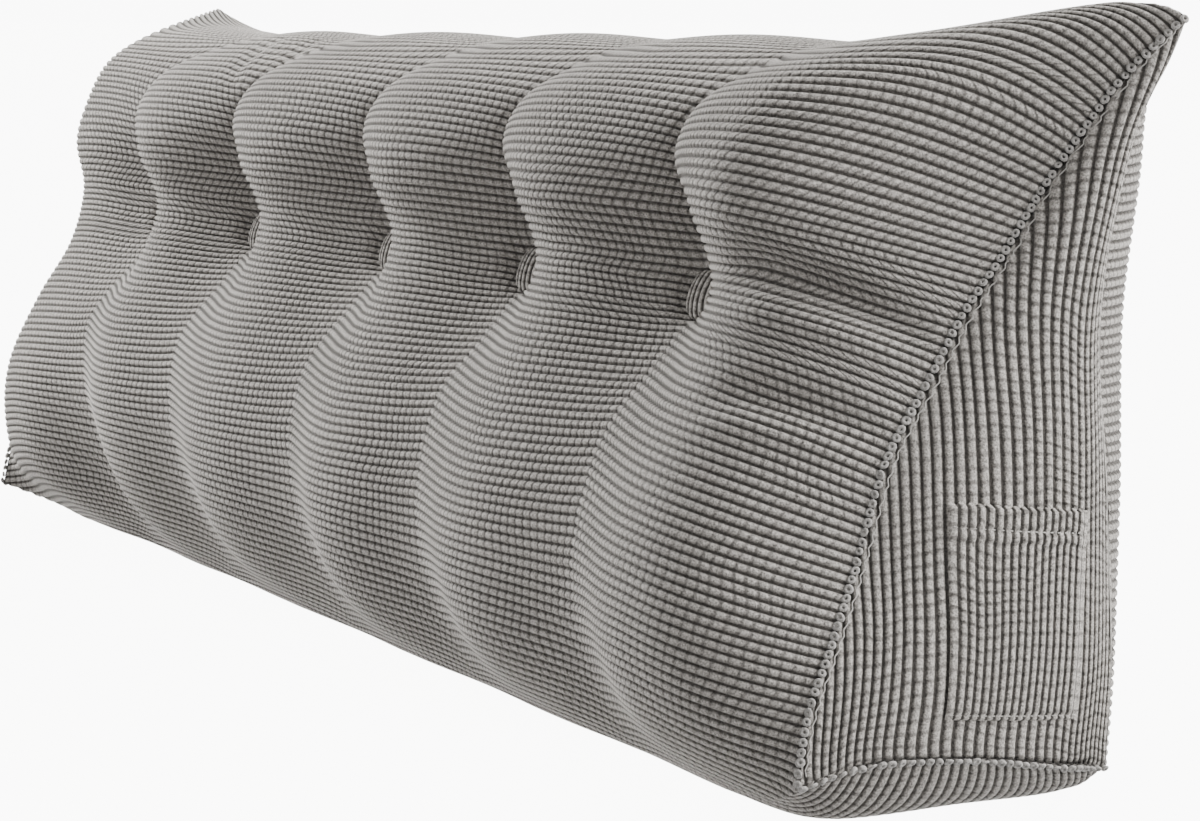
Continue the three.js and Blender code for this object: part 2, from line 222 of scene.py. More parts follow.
def ribs_along_seam(u):
    """Number of ribs before the station numbers u on a seam, where they are evenly spaced"""
    ribs = np.zeros(len(u))
    count = 0
    for first, last, seam_ribs in SEAMS:
        fine = np.linspace(first, last, FINE_STEPS * (last - first) + 1)
        walk = walked(seam_line(fine))
        here = (u >= first) & (u <= last)
        ribs[here] = count + seam_ribs * np.interp(u[here], fine, walk / walk[-1])
        count += seam_ribs
    return ribs


def row_numbers(ribs):
    """The rib number of each row of a count of ribs, whole in a groove"""
    return (np.arange(ribs)[:, None] + ROW_SHARES).ravel()


def rib_rows(x):
    """Station numbers at the places x of every row round the section, and its rib number and rise. Close
    to a seam the ribs turn from their own spacing to an even one."""
    fine = np.linspace(0, station_count, FINE_STEPS * station_count + 1)
    i = np.minimum(np.floor(fine).astype(int), station_count - 1)
    count = profile["rib"]
    turned = np.r_[count[-1] - rib_total, count, count[:2] + rib_total]
    on_crown = catmull_rom(*(turned[i + k] for k in range(4)), fine - i)
    in_fold = around("drawn", fine)
    on_seam = ribs_along_seam(fine)
    reach = np.abs(x)
    to_fold = (1 - lobe_place(np.clip(x, -CROWN_X, CROWN_X))) ** RIBS_TO_FOLD
    to_seam = np.clip((reach - RIBS_TURN_X) / (EAR_X - RIBS_TURN_X), 0, 1) ** RIBS_TO_SEAM
    ribs = row_numbers(rib_total)
    stations = np.zeros((len(x), len(ribs)))
    for column, (fold_share, seam_share) in enumerate(zip(to_fold, to_seam)):
        counted = on_crown + in_fold * fold_share
        counted += (on_seam - counted) * seam_share
        stations[column] = np.interp(ribs, counted, fine)
    return stations, ribs, np.tile(ROW_RISES, rib_total)


# Columns of points from a fold to a crown and from a crown to an ear, and how they crowd there
FOLD_COLUMNS, FOLD_CROWDING = 18, 1.15
EAR_COLUMNS, EAR_CROWDING = 33, 1.25


def length_columns():
    """Places of the columns along the length"""
    away = np.linspace(0, 1, FOLD_COLUMNS + 1)[:-1] ** FOLD_CROWDING
    back = np.r_[1, away[:0:-1]]
    lobes = []
    for left, right in zip(FOLDS, FOLDS[1:]):
        half = (right - left) / 2
        lobes += [left + half * away, right - half * back]
    ear = EAR_X - (EAR_X - CROWN_X) * np.linspace(1, 0, EAR_COLUMNS) ** EAR_CROWDING
    left_end = FOLDS[0] - (CROWN_X + FOLDS[0]) * back[1:]
    right_end = FOLDS[-1] + (CROWN_X - FOLDS[-1]) * away
    return np.concatenate([-ear[::-1], left_end, *lobes, right_end, ear])


def grid_quads(rows, columns, closed=False):
    """Corners of the cells of a grid of points, counted along its second axis first"""
    i, j = np.meshgrid(np.arange(rows - 1), np.arange(columns if closed else columns - 1), indexing="ij")
    here, beyond, k = i * columns, (i + 1) * columns, (j + 1) % columns
    return np.stack([here + j, beyond + j, beyond + k, here + k], -1).reshape(-1, 4)


def new_object(name, data):
    """An object in the scene, of a mesh, a light or a camera"""
    made = bpy.data.objects.new(name, data)
    bpy.context.scene.collection.objects.link(made)
    return made


def cloth_mesh(name, points, quads, quad_uvs, triangles=None, triangle_uvs=None):
    """A smooth object of quads and triangles, with a UV for every corner of each"""
    corners, uvs, sizes = [quads.ravel()], [quad_uvs.reshape(-1, 2)], [np.full(len(quads), 4)]
    if triangles is not None:
        corners.append(triangles.ravel())
        uvs.append(triangle_uvs.reshape(-1, 2))
        sizes.append(np.full(len(triangles), 3))
    corners, uvs, sizes = (np.concatenate(part) for part in (corners, uvs, sizes))
    mesh = bpy.data.meshes.new(name)
    mesh.vertices.add(len(points))
    mesh.vertices.foreach_set("co", points.astype(np.float32).ravel())
    mesh.loops.add(len(corners))
    mesh.loops.foreach_set("vertex_index", corners.astype(np.int32))
    mesh.polygons.add(len(sizes))
    mesh.polygons.foreach_set("loop_start", np.r_[0, np.cumsum(sizes)[:-1]].astype(np.int32))
    mesh.update(calc_edges=True)
    mesh.polygons.foreach_set("use_smooth", np.ones(len(sizes), dtype=bool))
    layer = mesh.uv_layers.new(name="UVMap")
    layer.data.foreach_set("uv", uvs.astype(np.float32).ravel())
    mesh.validate()
    return new_object(name, mesh)


def rib_cap(distance, length=5 * MM, flat=1.2 * MM):
    """1 along a rib, rounding off over a length to 0, a little before its end"""
    t = np.clip((distance - flat) / length, 0, 1)
    return np.sqrt(1 - (1 - t) ** 2)


# Each button draws the cloth into a pit with steep sides, just wide enough for it
BUTTON_RADIUS = 17 * MM
BUTTON_TILT = 0.35  # radians that a button looks up
BUTTON_SINK = 5 * MM  # from the cloth's fold back to the button's flat back
PIT_SLOPE = 1.5  # its rise outwards, beside the button
PIT_LIP = 2 * MM  # where the cloth meets the button's edge, above its back
PIT_FLOOR = -6 * MM  # the deepest that the cloth lies under the button
PIT_SOFTNESS = 5 * MM  # how gradually the slope meets the lobes
PIT_RADIUS, PIT_HEIGHT = 70 * MM, 80 * MM  # nothing further away is drawn in


def button_places():
    """The middle of each button's back, and the way that they all look"""
    looks = np.array([0, -math.cos(BUTTON_TILT), math.sin(BUTTON_TILT)])
    pit = [profile[name][button_row] for name in ("fold_y", "fold_z")]
    return np.array([(x, *pit) for x in FOLDS]) - looks * BUTTON_SINK, looks


def smooth_minimum(a, b, width):
    h = np.clip(0.5 + 0.5 * (b - a) / width, 0, 1)
    return b + (a - b) * h - width * h * (1 - h)


def draw_in_buttons(points):
    places, looks = button_places()
    for place in places:
        arm = points - place
        height = arm @ looks
        radius = norm(arm - height[..., None] * looks, axis=-1)
        near = (radius < PIT_RADIUS) & (np.abs(height) < PIT_HEIGHT)
        slope = np.where(radius > BUTTON_RADIUS, PIT_SLOPE, 1.0)
        allowed = PIT_LIP + (radius - BUTTON_RADIUS) * slope
        pressed = smooth_minimum(height, np.maximum(allowed, PIT_FLOOR), PIT_SOFTNESS)
        points += np.where(near, pressed - height, 0)[..., None] * looks
    return points


# Creases where the buttons pull the cloth, each from one point to another, with half its width and its
# depth, in millimetres. Below a crease the cloth rises to a small ridge.
PULLS = (
    ((620, -101, 340), (718, 1, 295), 8, 15),
    ((632, -121, 264), (714, -33, 239), 8, 10),
    ((-243, -52, 443), (-310, 36, 480), 5, 5),
    ((-284, -63, 432), (-360, 26, 480), 5, 5),
)
FACE_LOOKS = (0, -0.8, 0.6)  # the way that the leaning face looks
CREASE_BELOW, CREASE_ABOVE = 1.2, 1.5  # how wide its two sides are, in its own half widths
RIDGE_HEIGHT = 0.25  # of its depth
RIDGE_PLACE, RIDGE_BREADTH = 2.4, 1.1  # in its half widths
CREASE_START, CREASE_RATE = 0.08, 0.97  # it fades to nothing just before the end of its line
CREASE_LAYER = 30 * MM  # no cloth further behind the line is moved


def pull_creases(points, normals):
    for start, end, width, depth in PULLS:
        start, end = np.array(start) * MM, np.array(end) * MM
        way = end - start
        t = (points - start) @ way / (way @ way)
        arm = points - start - t[..., None] * way
        across = np.cross(way, FACE_LOOKS)
        across /= norm(across)
        past = arm @ across / (width * MM)
        over = arm @ np.cross(across, way / norm(way)) / CREASE_LAYER
        dip = np.exp(-((past / np.where(past > 0, CREASE_BELOW, CREASE_ABOVE)) ** 2))
        small_ridge = RIDGE_HEIGHT * np.exp(-(((past - RIDGE_PLACE) / RIDGE_BREADTH) ** 2))
        taper = np.sin(math.pi * np.clip(CREASE_START + CREASE_RATE * t, 0, 1)) * np.exp(-(over**2))
        points -= normals * (depth * MM * taper * (dip - small_ridge))[..., None]
    return points


def ribbed_wrap():
    """Points, distance along the rib and rib numbers of the wrap, with its ribs raised"""
    x = length_columns()
    stations, ribs, rises = rib_rows(x)
    points = draw_in_buttons(smooth_wrap(x, stations))
    points = pull_creases(points, surface_normals(points, True))
    along = walked(points)
    total = along[-1:]
    cap = rib_cap(np.minimum(along, total - along))
    points += surface_normals(points, True) * (RIB_RISE * (rises * cap - RIB_SINK))[..., None]
    return points, along - total / 2, ribs


PANEL_EDGE = 0.004  # the share of the panel's width and height that each seam takes up
PANEL_STEPS = 72  # points along each rib
PANEL_SAMPLES = 500  # heights at which its width is measured
PANEL_MARGIN = 0.003  # of its width: no rib comes closer to a seam
SHORTEST_RIB = 0.002  # of its height


def panel_edges(h):
    """Points of the right end panel's front and rear edges at the shares h of its height"""
    return [smooth_panel(np.full(len(h), float(a)), h) for a in (0, 1)]


def ribbed_panel():
    """Points, distance along the rib and rib number of the right end panel, with its ribs raised, and the
    row that ends at the ear. The ribs lean back a little, so the rearmost ones end on the rear seam."""
    number = np.r_[row_numbers(PANEL_RIBS), PANEL_RIBS]
    rises = np.r_[np.tile(ROW_RISES, PANEL_RIBS), 0]
    heights = np.linspace(0, 1, PANEL_SAMPLES)
    front, rear = panel_edges(heights)
    widths = np.minimum.accumulate((rear - front)[:, 1])
    climb = rear[:, 2] - rear[0, 2]
    leaning = PANEL_LEAN * climb + PANEL_FOOT_BEND * (np.exp(-climb / PANEL_FOOT_RISE) - 1)
    from_rear = widths[0] * (PANEL_EDGE + (1 - 2 * PANEL_EDGE) * number / PANEL_RIBS)
    distance = from_rear[:, None] - leaning
    room = np.minimum.accumulate(np.minimum(distance, widths - distance), axis=1)
    top = np.array([np.interp(0, -row, heights) for row in room])
    t = PANEL_EDGE + (1 - 2 * PANEL_EDGE) * np.linspace(0, 1, PANEL_STEPS)
    h = np.maximum(top, SHORTEST_RIB)[:, None] * t
    distance = from_rear[:, None] - np.interp(h, heights, leaning)
    a = 1 - distance / np.maximum(np.interp(h, heights, widths), 1e-6)
    a = np.clip(a, PANEL_MARGIN, 1 - PANEL_MARGIN)
    points = smooth_panel(a, h)
    along = walked(points, 1)
    cap = rib_cap(np.minimum(along, along[:, -1:] - along))
    points -= surface_normals(points, False) * (RIB_RISE * (rises[:, None] * cap - RIB_SINK))[..., None]
    return points, along, number, int(np.argmax(top))


def zipper(outer, inner, outer_at, inner_at):
    """Triangles between two rows of point numbers, matched by how far along each point is"""
    triangles = []
    i = j = 0
    while i < len(outer) - 1 or j < len(inner) - 1:
        next_outer = outer_at[i + 1] if i < len(outer) - 1 else math.inf
        next_inner = inner_at[j + 1] if j < len(inner) - 1 else math.inf
        if next_outer <= next_inner:
            triangles.append((outer[i], outer[i + 1], inner[j]))
            i += 1
        else:
            triangles.append((outer[i], inner[j + 1], inner[j]))
            j += 1
    return triangles


def cushion_cover():
    """The whole cover as one closed mesh: the wrap, the two panels, and narrow strips that join them"""
    wrap, wrap_along, wrap_ribs = ribbed_wrap()
    columns, rows = wrap.shape[:2]
    along = np.broadcast_to(wrap_along, (columns, rows))
    rib = np.broadcast_to(wrap_ribs, (columns, rows))
    points = [wrap.reshape(-1, 3)]
    quads = [grid_quads(columns, rows, closed=True)]
    uvs = [np.stack([along, rib], -1).reshape(-1, 2)[quads[0]]]
    rib_numbers = uvs[0][:, :, 1]
    closing = np.ptp(rib_numbers, axis=1, keepdims=True) > rib_total / 2
    rib_numbers[closing & (rib_numbers < rib_total / 2)] += rib_total
    triangles = []
    panel, panel_along, panel_ribs, ear_row = ribbed_panel()
    panel_rib = np.broadcast_to(panel_ribs[:, None] + rib_total, panel_along.shape)
    panel_uv = np.stack([panel_along, panel_rib], -1).reshape(-1, 2)
    for side in (-1, 1):
        first = sum(len(part) for part in points)
        points.append((panel * (side, 1, 1)).reshape(-1, 3))
        panel_quads = grid_quads(*panel.shape[:2])[:, ::-side]
        quads.append(first + panel_quads)
        uvs.append(panel_uv[panel_quads])
        ring = (columns - 1) * rows * (side > 0) + np.arange(rows)
        ring = np.r_[ring, ring[0]]
        inner = first + np.arange(len(panel_uv)).reshape(panel.shape[:2])
        front_edge = inner[ear_row:, -1][::-1]
        rear_edge = np.r_[inner[ear_row::-1, -1], inner[0, -2::-1]]
        stops = np.searchsorted(wrap_ribs, np.cumsum([0] + [count for _, _, count in SEAMS]))
        everything = np.concatenate(points)
        for k, edge in enumerate((inner[:, 0], front_edge, rear_edge)):
            outer = ring[stops[k] : stops[k + 1] + 1]
            places = []
            for line in (outer, edge):
                walk = walked(everything[line])
                places.append(walk / walk[-1])
            triangles.append(np.array(zipper(outer, edge, *places))[:, ::side])
    points, quads, uvs, triangles = (np.concatenate(part) for part in (points, quads, uvs, triangles))
    return cloth_mesh("corduroy_cover", points, quads, uvs, triangles, np.zeros((len(triangles), 3, 2)))


cover = cushion_cover()
xyz = np.empty(len(cover.data.vertices) * 3, dtype=np.float32)
cover.data.vertices.foreach_get("co", xyz)
xyz = xyz.reshape(-1, 3)
# The table counts depth from the middle of the foot, and the frame from the middle of the whole box
DEPTH_SHIFT = -2.88 * MM
xyz[:, 1] += DEPTH_SHIFT
xyz[:, 2] = np.maximum(xyz[:, 2], 0)
cover.data.vertices.foreach_set("co", xyz.ravel())
cover.data.update()


def srgb(code):
    """A hex colour as the linear values that a shader takes"""
    parts = [int(code[k : k + 2], 16) / 255 for k in (1, 3, 5)]
    return (*(p / 12.92 if p <= 0.04045 else ((p + 0.055) / 1.055) ** 2.4 for p in parts), 1.0)


def add_node(tree, kind, inputs=None, **settings):
    """Adds a node with its settings, and sets or links its inputs. A node stands for its first output."""
    made = tree.nodes.new(kind)
    for name, value in settings.items():
        setattr(made, name, value)
    for name, value in (inputs or {}).items():
        if isinstance(value, bpy.types.Node):
            value = value.outputs[0]
        if isinstance(value, bpy.types.NodeSocket):
            tree.links.new(value, made.inputs[name])
        else:
            made.inputs[name].default_value = value
    return made


def span(side, values):
    """The two inputs on one side of a Map Range node"""
    return {f"{side} Min": values[0], f"{side} Max": values[1]}


def new_material(name):
    """A material and its node tree, without nodes"""
    material = bpy.data.materials.new(name)
    material.use_nodes = True
    material.node_tree.nodes.clear()
    return material, material.node_tree


def end_material(tree, inputs):
    """A Principled shader with the given inputs, to the tree's output"""
    shader = add_node(tree, "ShaderNodeBsdfPrincipled", inputs)
    add_node(tree, "ShaderNodeOutputMaterial", {"Surface": shader})


# Wide-wale cotton corduroy, cut pile: matt and soft, with a faint sheen where the pile is seen edge on.
# The ribs break into rounded cells about 8 mm long where the cloth bends. Painted shade darkens the grooves
# and the gaps between the cells.
CELL_LENGTH = 7.85 * MM
CELL_GAP = (0.45, 0.96)  # from where a cell falls off to its end, as a share of half its length
GROOVE = (0.12, 0.72)  # the same across a rib, squared
RIB_SHIFT = 0.22  # cells, how far neighbouring ribs are out of step
CELL_WANDER = 3.0  # cells, how far they drift along a rib
WANDER_PACE = (9.0, 0.12, 0.0)  # how fast: a metre of rib, and one rib across
PATCHES = 9.0  # a metre: patches of cloth where the cells show more or less
PATCH_CELLS = (0.5, 1.0)  # how deep the cells are in them
PATCH_NOISE = (0.35, 0.62)  # at these values of the noise
TAUT_ENDS = (0.58, 0.76)  # metres from the middle: the cloth is drawn tight towards its ends
TAUT_CELLS = 0.75  # how deep the cells still are there
PILE_PITCH = 1.3 * MM  # real pile is finer and wouldn't show, so it is drawn coarser
CLUMP_PITCH = 3.5 * MM
CELL_HEIGHT, PILE_HEIGHT, CLUMP_HEIGHT = 1.2, 0.8, 1.1  # millimetres, as is a groove's depth of 1
CELL_GAP_PAINTED_SHADE = 0.7  # how much painted shade darkens the gaps between cells, for 1 in a groove
SPECKLE = (0.42, 1.8)  # darkest and lightest pile, for 1 on average
SPECKLE_NOISE = (0.34, 0.66)  # at these values of the noise
PILE_COLOUR = "#8e8a85"
# painted shade: the colour that the grooves and the gaps between cells are darkened to
PAINTED_GROOVE_SHADE = "#3f3c39"
PILE_SHEEN = "#d8d5d0"
PILE_FINISH = {
    "Roughness": 0.92, "Specular IOR Level": 0.15, "Sheen Weight": 0.25, "Sheen Roughness": 0.5,
}


def corduroy(name):
    material, tree = new_material(name)
    uv = add_node(tree, "ShaderNodeUVMap", uv_map="UVMap").outputs["UV"]
    split = add_node(tree, "ShaderNodeSeparateXYZ", {"Vector": uv})
    along, rib = split.outputs["X"], split.outputs["Y"]
    place = add_node(tree, "ShaderNodeTexCoord").outputs["Object"]

    phase = add_node(tree, "ShaderNodeMath", {0: rib}, operation="FRACT")
    across = add_node(tree, "ShaderNodeMath", {0: phase, 1: 2.0, 2: -1.0}, operation="MULTIPLY_ADD")
    square = add_node(tree, "ShaderNodeMath", {0: across, 1: across}, operation="MULTIPLY")
    dip = add_node(
        tree, "ShaderNodeMapRange", {"Value": square, **span("From", GROOVE)}, interpolation_type="SMOOTHSTEP"
    )

    rib_number = add_node(tree, "ShaderNodeMath", {0: rib}, operation="FLOOR")
    chance = add_node(tree, "ShaderNodeTexWhiteNoise", {"W": rib_number}, noise_dimensions="1D")
    slow = add_node(tree, "ShaderNodeVectorMath", {0: uv, 1: WANDER_PACE}, operation="MULTIPLY")
    wander = add_node(
        tree, "ShaderNodeTexNoise", {"Vector": slow, "Scale": 1.0, "Detail": 1.0}, noise_dimensions="2D"
    )
    cells = add_node(
        tree, "ShaderNodeMath", {0: along, 1: 1 / CELL_LENGTH, 2: 100.0}, operation="MULTIPLY_ADD"
    )
    for drift, amount in ((chance, RIB_SHIFT), (wander, CELL_WANDER)):
        cells = add_node(tree, "ShaderNodeMath", {0: drift, 1: amount, 2: cells}, operation="MULTIPLY_ADD")
    cell_phase = add_node(tree, "ShaderNodeMath", {0: cells}, operation="FRACT")
    cell_across = add_node(tree, "ShaderNodeMath", {0: cell_phase, 1: 2.0, 2: -1.0}, operation="MULTIPLY_ADD")
    cell_edge = add_node(tree, "ShaderNodeMath", {0: cell_across}, operation="ABSOLUTE")
    gap = add_node(
        tree, "ShaderNodeMapRange",
        {"Value": cell_edge, **span("From", CELL_GAP)},
        interpolation_type="SMOOTHSTEP",
    )
    patchy = add_node(tree, "ShaderNodeTexNoise", {"Vector": place, "Scale": PATCHES, "Detail": 2.0})
    broken = add_node(
        tree, "ShaderNodeMapRange", {"Value": patchy, **span("From", PATCH_NOISE), **span("To", PATCH_CELLS)}
    )
    reach = add_node(tree, "ShaderNodeMath", {0: along}, operation="ABSOLUTE")
    taut = add_node(
        tree, "ShaderNodeMapRange",
        {"Value": reach, **span("From", TAUT_ENDS), **span("To", (1.0, TAUT_CELLS))},
    )
    for depth in (broken, taut):
        gap = add_node(tree, "ShaderNodeMath", {0: gap, 1: depth}, operation="MULTIPLY")

    fuzz = add_node(
        tree, "ShaderNodeTexNoise",
        {"Vector": place, "Scale": 1 / PILE_PITCH, "Detail": 3.0, "Roughness": 0.7},
    )
    clumps = add_node(tree, "ShaderNodeTexNoise", {"Vector": place, "Scale": 1 / CLUMP_PITCH, "Detail": 1.0})
    height = add_node(tree, "ShaderNodeMath", {0: dip, 1: -1.0, 2: 1.0}, operation="MULTIPLY_ADD")
    for pattern, rise in ((gap, -CELL_HEIGHT), (fuzz, PILE_HEIGHT), (clumps, CLUMP_HEIGHT)):
        height = add_node(tree, "ShaderNodeMath", {0: pattern, 1: rise, 2: height}, operation="MULTIPLY_ADD")
    bump = add_node(tree, "ShaderNodeBump", {"Height": height, "Distance": MM, "Strength": 1.0})

    # painted shade, darkest in the grooves and the gaps between cells, mixed into the base colour
    shade = add_node(
        tree, "ShaderNodeMath", {0: gap, 1: CELL_GAP_PAINTED_SHADE, 2: dip}, operation="MULTIPLY_ADD", use_clamp=True
    )
    colour = add_node(
        tree, "ShaderNodeMix", {"Factor": shade, "A": srgb(PILE_COLOUR), "B": srgb(PAINTED_GROOVE_SHADE)},
        data_type="RGBA",
    ).outputs["Result"]
    speckle = add_node(
        tree, "ShaderNodeMapRange", {"Value": fuzz, **span("From", SPECKLE_NOISE), **span("To", SPECKLE)}
    )
    tinted = add_node(tree, "ShaderNodeVectorMath", {0: colour, "Scale": speckle}, operation="SCALE")
    end_material(tree, {"Base Color": tinted, "Sheen Tint": srgb(PILE_SHEEN), "Normal": bump, **PILE_FINISH})
    return material


cover_cloth = corduroy("wide_wale_corduroy")
cover.data.materials.append(cover_cloth)
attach(cover, "root")
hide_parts("cushion_body")


# The seams of the end panels. Each rib of the wrap is folded in and ends in a small knot of pile on the
# front and the foot seam, and a pale thread runs beside them. The rear seam shows its thread alone.
KNOT_RING = 1.9 * MM  # radius of the middle of its strand
KNOT_STRAND = 1.2 * MM
KNOT_LIFT = 1.5 * MM
KNOT_FACING = 0.9  # how far it faces the end of the cushion, for 1 outwards from the seam
KNOT_DISORDER = 0.35
KNOT_SCALES = ((0.84, 0.84, 0.6), (1.12, 1.12, 1.25))  # smallest and largest
THREAD_RADIUS = 0.42 * MM
THREAD_INSET = 4.3 * MM  # from the seam to the thread, on the panel
THREAD_SHARE = 0.3  # of the panel's width, where that is less
THREAD_LIFT = 0.4  # radii, from the crests of the ribs to its middle
THREAD_SWING = 0.9 * MM  # to either side, beside the front seam
REAR_THREAD_SWING = 0.2 * MM
THREAD_WAVE = 9 * MM
THREAD_SPAN = (0.012, 0.985)  # of the panel's height
THREAD_POINTS = 460
FIBRE_NOISE, FIBRE_SHADES = (0.3, 0.7), (0.55, 1.4)  # values of the noise, and how bright it makes them


def new_tree(name, sizes):
    """A Geometry Nodes tree with named inputs for its sizes, and the outputs of its Group Input"""
    tree = bpy.data.node_groups.new(name, "GeometryNodeTree")
    tree.interface.new_socket("Geometry", in_out="INPUT", socket_type="NodeSocketGeometry")
    for size in sizes:
        tree.interface.new_socket(size, in_out="INPUT", socket_type="NodeSocketFloat")
    tree.interface.new_socket("Geometry", in_out="OUTPUT", socket_type="NodeSocketGeometry")
    return tree, tree.nodes.new("NodeGroupInput").outputs


def end_tree(tree, geometry, material):
    """Smooth, realized and with its material, to the tree's output"""
    smooth = add_node(tree, "GeometryNodeSetShadeSmooth", {0: geometry})
    realized = add_node(tree, "GeometryNodeRealizeInstances", {0: smooth})
    finished = add_node(tree, "GeometryNodeSetMaterial", {0: realized, "Material": material})
    add_node(tree, "NodeGroupOutput", {0: finished})


def grow(name, points, edges, tree, sizes, aims=None):
    """The plain mesh object that a tree makes of a path of points"""
    path = bpy.data.meshes.new(name)
    path.from_pydata([tuple(point) for point in points], edges, [])
    if aims is not None:
        aim = path.attributes.new("aim", "FLOAT_VECTOR", "POINT")
        aim.data.foreach_set("vector", np.ravel(aims).astype(np.float32))
    piece = new_object(name, path)
    modifier = piece.modifiers.new(name, "NODES")
    modifier.node_group = tree
    for socket in tree.interface.items_tree:
        if socket.name in sizes:
            modifier[socket.identifier] = sizes[socket.name]
    depsgraph = bpy.context.evaluated_depsgraph_get()
    grown = bpy.data.meshes.new_from_object(piece.evaluated_get(depsgraph))
    piece.modifiers.clear()
    piece.data = grown
    return piece


def soft_cloth(name, colour, grain, depth):
    """A matt material with a grain of loose fibres"""
    material, tree = new_material(name)
    place = add_node(tree, "ShaderNodeTexCoord").outputs["Object"]
    fibres = add_node(
        tree, "ShaderNodeTexNoise", {"Vector": place, "Scale": 1 / grain, "Detail": 3.0, "Roughness": 0.7}
    )
    shade = add_node(
        tree, "ShaderNodeMapRange", {"Value": fibres, **span("From", FIBRE_NOISE), **span("To", FIBRE_SHADES)}
    )
    tinted = add_node(tree, "ShaderNodeVectorMath", {0: srgb(colour)[:3], "Scale": shade}, operation="SCALE")
    bump = add_node(tree, "ShaderNodeBump", {"Height": fibres, "Distance": depth, "Strength": 1.0})
    end_material(tree, {"Base Color": tinted, "Normal": bump, **PILE_FINISH})
    return material


# Cut cotton pile, bunched into a knot: fuzzy and matt
knotted_pile = soft_cloth("knotted_cotton_pile", "#96938f", 0.9 * MM, 0.8 * MM)
# Spun polyester sewing thread, paler than the cloth
sewing_thread = soft_cloth("spun_polyester_thread", "#a19e99", 0.5 * MM, 0.1 * MM)


def knot_places():
    """Where a knot sits on the foot and the front seam of the right end, and the way that it faces"""
    fine = np.linspace(0, ridge, FINE_STEPS * ridge + 1)
    crests = np.arange(SEAMS[0][2] + SEAMS[1][2]) + 0.5
    places = seam_line(np.interp(crests, ribs_along_seam(fine), fine))
    along = np.gradient(places, axis=0)
    out = np.cross((1, 0, 0), along)
    out /= norm(out, axis=1, keepdims=True)
    aims = out * np.array((0, 1, 1)) + (KNOT_FACING, 0, 0)
    aims += np.random.default_rng(5).uniform(-KNOT_DISORDER, KNOT_DISORDER, aims.shape)
    aims /= norm(aims, axis=1, keepdims=True)
    return places + aims * KNOT_LIFT, aims


def thread_path(a_edge, swing):
    """Points of a thread on the right end panel, beside its front seam at 0 or its rear seam at 1"""
    h = np.linspace(*THREAD_SPAN, THREAD_POINTS)
    ends = panel_edges(h)
    width = norm(ends[1] - ends[0], axis=1)
    wave = np.abs((walked(ends[a_edge]) / THREAD_WAVE) % 1 * 2 - 1) * 2 - 1
    inset = np.minimum(THREAD_INSET, width * THREAD_SHARE) + swing * wave
    a = inset / np.maximum(width, 1e-6)
    points = smooth_panel(a if a_edge == 0 else 1 - a, h)
    points[:, 0] += RIB_RISE * (1 - RIB_SINK) + THREAD_RADIUS * THREAD_LIFT
    return points


def joined(paths):
    """All points of some paths, and the edges that link them along each one"""
    starts = np.cumsum([0] + [len(path) for path in paths])
    edges = [(k, k + 1) for first, after in zip(starts, starts[1:]) for k in range(first, after - 1)]
    return np.concatenate(paths), edges


both_ends = np.array(((-1, 1, 1), (1, 1, 1)))
knot_tree, knot_sizes = new_tree("seam_knots", ("Ring radius", "Strand radius"))
ring, strand = (
    add_node(knot_tree, "GeometryNodeCurvePrimitiveCircle", {"Radius": knot_sizes[size], "Resolution": steps})
    for size, steps in (("Ring radius", 9), ("Strand radius", 6))
)
knot = add_node(knot_tree, "GeometryNodeCurveToMesh", {"Curve": ring, "Profile Curve": strand})
aim = add_node(knot_tree, "GeometryNodeInputNamedAttribute", {"Name": "aim"}, data_type="FLOAT_VECTOR")
turn = add_node(
    knot_tree, "FunctionNodeAlignRotationToVector", {"Vector": aim.outputs["Attribute"]}, axis="Z"
)
scale = add_node(
    knot_tree, "FunctionNodeRandomValue", {0: KNOT_SCALES[0], 1: KNOT_SCALES[1], "Seed": 7},
    data_type="FLOAT_VECTOR",
)
knots = add_node(
    knot_tree, "GeometryNodeInstanceOnPoints",
    {"Points": knot_sizes["Geometry"], "Instance": knot, "Rotation": turn, "Scale": scale},
)
end_tree(knot_tree, knots, knotted_pile)
places, aims = knot_places()
places[:, 1] += DEPTH_SHIFT
seam_knots = grow(
    "seam_knots", np.concatenate(places * both_ends[:, None]), [], knot_tree,
    {"Ring radius": KNOT_RING, "Strand radius": KNOT_STRAND}, np.concatenate(aims * both_ends[:, None]),
)

thread_tree, thread_sizes = new_tree("sewing_thread", ("Thread radius",))
line = add_node(thread_tree, "GeometryNodeMeshToCurve", {0: thread_sizes["Geometry"]})
section = add_node(
    thread_tree, "GeometryNodeCurvePrimitiveCircle",
    {"Radius": thread_sizes["Thread radius"], "Resolution": 6},
)
tube = add_node(
    thread_tree, "GeometryNodeCurveToMesh", {"Curve": line, "Profile Curve": section, "Fill Caps": True}
)
end_tree(thread_tree, tube, sewing_thread)
threads = (thread_path(0, THREAD_SWING), thread_path(1, REAR_THREAD_SWING))
thread_paths = [(path + (0, DEPTH_SHIFT, 0)) * side for path in threads for side in both_ends]
seam_thread = grow("seam_thread", *joined(thread_paths), thread_tree, {"Thread radius": THREAD_RADIUS})
for piece in (seam_knots, seam_thread):
    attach(piece, "root")


# The five covered buttons. Each is a domed disc wrapped in the cover's corduroy with its ribs upright,
# and held by a cord through the filling at the bottom of its pit.
BUTTON_RIM = 5 * MM  # from the flat back to where the dome starts
BUTTON_DOME = 4 * MM
BUTTON_RELIEF = 1.5 * MM  # from a groove to a crest of its ribs
BUTTON_RIB = 6.1 * MM
BUTTON_RIB_BEND = 9.0  # per metre, how the ribs curve with the left edge
BUTTON_AROUND = 96
DOME_RINGS = 24
BUTTON_SINK_SHARE = 0.55  # the share of the relief that lies below the smooth dome
BUTTON_CREST = 2.2  # how broad the crests are
BUTTON_PLAIN = (0.3, -0.2)  # how far up the rim the cloth is plain, and how high, for 1 on a crest
# A rib's number picks its place in the pattern of cells, so the buttons' start past all of the cover's
FIRST_BUTTON_RIB, RIBS_TO_A_BUTTON = 300, 10


